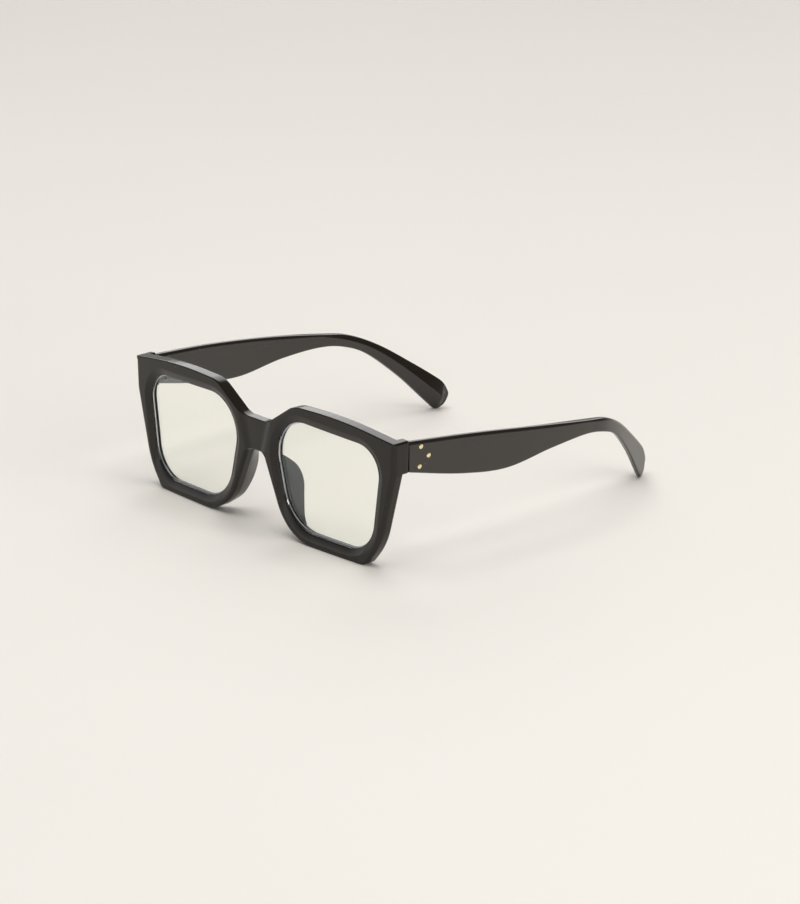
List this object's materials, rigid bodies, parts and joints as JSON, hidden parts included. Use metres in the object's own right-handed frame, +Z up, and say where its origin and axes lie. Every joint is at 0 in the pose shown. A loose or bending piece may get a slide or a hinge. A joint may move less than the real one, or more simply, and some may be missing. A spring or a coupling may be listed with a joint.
{
  "type": "blue light glasses",
  "caption": "Thick black square-framed glasses with clear blue-light lenses, moulded nose pads and flat folding temples on riveted barrel hinges.",
  "frame": {"origin": "middle of the open glasses' footprint on the table they stand on", "axes": "+X across the front towards the wearer's left, +Y back from the front to the temple tips, +Z up"},
  "size_m": [0.1528, 0.1496, 0.0521],
  "materials": {
    "frame_plastic": "polished black moulded plastic",
    "pad_plastic": "polished black moulded plastic",
    "lens": "clear polycarbonate with a faint yellow tint and a violet anti-reflection coat",
    "hinge_steel": "satin nickel silver",
    "rivet_gold": "polished gold plate"
  },
  "bodies": {
    "front": {"frame_front": "frame_plastic", "lens_left": "lens", "lens_right": "lens", "nose_pad_left": "pad_plastic", "nose_pad_right": "pad_plastic", "hinge_front_leaf_left": "hinge_steel", "hinge_front_leaf_right": "hinge_steel", "hinge_screw_left": "hinge_steel", "hinge_screw_right": "hinge_steel"},
    "temple_left": {"temple_left": "frame_plastic", "temple_core_wire_left": "hinge_steel", "hinge_temple_leaf_left": "hinge_steel", "temple_rivet_upper_left": "rivet_gold", "temple_rivet_middle_left": "rivet_gold", "temple_rivet_lower_left": "rivet_gold"},
    "temple_right": {"temple_right": "frame_plastic", "temple_core_wire_right": "hinge_steel", "hinge_temple_leaf_right": "hinge_steel", "temple_rivet_upper_right": "rivet_gold", "temple_rivet_middle_right": "rivet_gold", "temple_rivet_lower_right": "rivet_gold"}
  },
  "joints": [
    {"name": "temple_fold_left", "type": "hinge", "parent": "front", "child": "temple_left", "pos_m": [0.0673, -0.0646, 0.0426], "axis": [0, 0, 1], "range_deg": [0, 84]},
    {"name": "temple_fold_right", "type": "hinge", "parent": "front", "child": "temple_right", "pos_m": [-0.0673, -0.0646, 0.0426], "axis": [0, 0, -1], "range_deg": [0, 70]}
  ]
}
